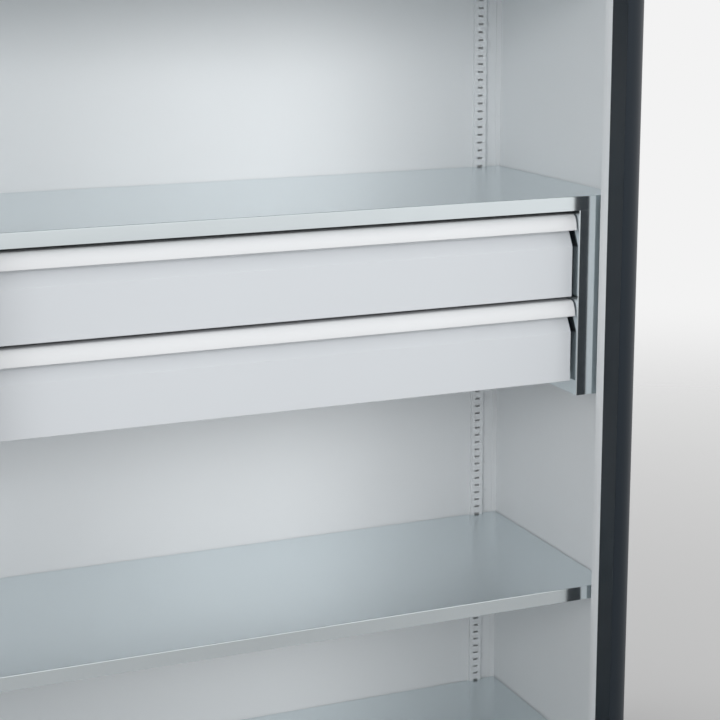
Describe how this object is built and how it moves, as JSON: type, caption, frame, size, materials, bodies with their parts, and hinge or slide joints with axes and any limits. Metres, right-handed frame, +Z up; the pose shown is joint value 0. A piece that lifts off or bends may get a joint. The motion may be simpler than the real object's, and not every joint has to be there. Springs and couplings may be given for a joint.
{
  "type": "drawer cabinet",
  "caption": "Tall open steel cabinet with zinc-plated shelves and a block of full-width drawers on telescopic runners, for tools and workshop parts.",
  "frame": {"origin": "on the floor, below the middle of the cabinet", "axes": "+X to the right, +Y to the back, +Z up; the open front faces -Y"},
  "size_m": [1.2, 0.55, 1.95],
  "materials": {
    "dark_grey_paint": "satin powder coat",
    "light_grey_paint": "satin powder coat",
    "drawer_paint": "satin powder coat",
    "zinc_sheet": "bright zinc-plated sheet",
    "rail_steel": "bright steel",
    "screw_steel": "zinc-plated"
  },
  "bodies": {
    "cabinet": {"back_panel": "light_grey_paint", "base_panel": "dark_grey_paint", "cheek_screws": "screw_steel", "drawer_cheek_left": "zinc_sheet", "drawer_cheek_right": "zinc_sheet", "drawer_shelf": "zinc_sheet", "floor_threshold": "light_grey_paint", "floor_tray": "zinc_sheet", "front_header": "dark_grey_paint", "front_lintel": "light_grey_paint", "front_post_left": "dark_grey_paint", "front_post_right": "dark_grey_paint", "front_sill": "dark_grey_paint", "front_stile_left": "light_grey_paint", "front_stile_right": "light_grey_paint", "lower_outer_rail_left": "rail_steel", "lower_outer_rail_right": "rail_steel", "lower_shelf": "zinc_sheet", "lower_shelf_clips": "zinc_sheet", "plinth_front": "dark_grey_paint", "plinth_left": "dark_grey_paint", "plinth_rear": "dark_grey_paint", "plinth_right": "dark_grey_paint", "rear_upright_left": "light_grey_paint", "rear_upright_right": "light_grey_paint", "roof_lining": "light_grey_paint", "side_lining_left": "light_grey_paint", "side_lining_right": "light_grey_paint", "side_panel_left": "dark_grey_paint", "side_panel_right": "dark_grey_paint", "top_panel": "dark_grey_paint", "upper_outer_rail_left": "rail_steel", "upper_outer_rail_right": "rail_steel", "upper_shelf": "zinc_sheet", "upper_shelf_clips": "zinc_sheet"},
    "lower_drawer": {"lower_drawer_back": "drawer_paint", "lower_drawer_bottom": "drawer_paint", "lower_drawer_front": "drawer_paint", "lower_drawer_front_nuts": "screw_steel", "lower_drawer_handle": "drawer_paint", "lower_drawer_rail_screws": "screw_steel", "lower_drawer_side_left": "drawer_paint", "lower_drawer_side_right": "drawer_paint", "lower_inner_rail_left": "rail_steel", "lower_inner_rail_right": "rail_steel"},
    "lower_runners": {"lower_middle_rail_left": "rail_steel", "lower_middle_rail_right": "rail_steel"},
    "upper_drawer": {"upper_drawer_back": "drawer_paint", "upper_drawer_bottom": "drawer_paint", "upper_drawer_front": "drawer_paint", "upper_drawer_front_nuts": "screw_steel", "upper_drawer_handle": "drawer_paint", "upper_drawer_rail_screws": "screw_steel", "upper_drawer_side_left": "drawer_paint", "upper_drawer_side_right": "drawer_paint", "upper_inner_rail_left": "rail_steel", "upper_inner_rail_right": "rail_steel"},
    "upper_runners": {"upper_middle_rail_left": "rail_steel", "upper_middle_rail_right": "rail_steel"}
  },
  "joints": [
    {"name": "upper_drawer_slide", "type": "slide", "parent": "cabinet", "child": "upper_drawer", "axis": [0, -1, 0], "range_m": [0, 0.38]},
    {"name": "upper_runner_slide", "type": "slide", "parent": "cabinet", "child": "upper_runners", "axis": [0, -1, 0], "range_m": [0, 0.19]},
    {"name": "lower_drawer_slide", "type": "slide", "parent": "cabinet", "child": "lower_drawer", "axis": [0, -1, 0], "range_m": [0, 0.38]},
    {"name": "lower_runner_slide", "type": "slide", "parent": "cabinet", "child": "lower_runners", "axis": [0, -1, 0], "range_m": [0, 0.19]}
  ],
  "couplings": [
    {"joint": "upper_runner_slide", "follows": "upper_drawer_slide", "ratio": 0.5},
    {"joint": "lower_runner_slide", "follows": "lower_drawer_slide", "ratio": 0.5}
  ]
}
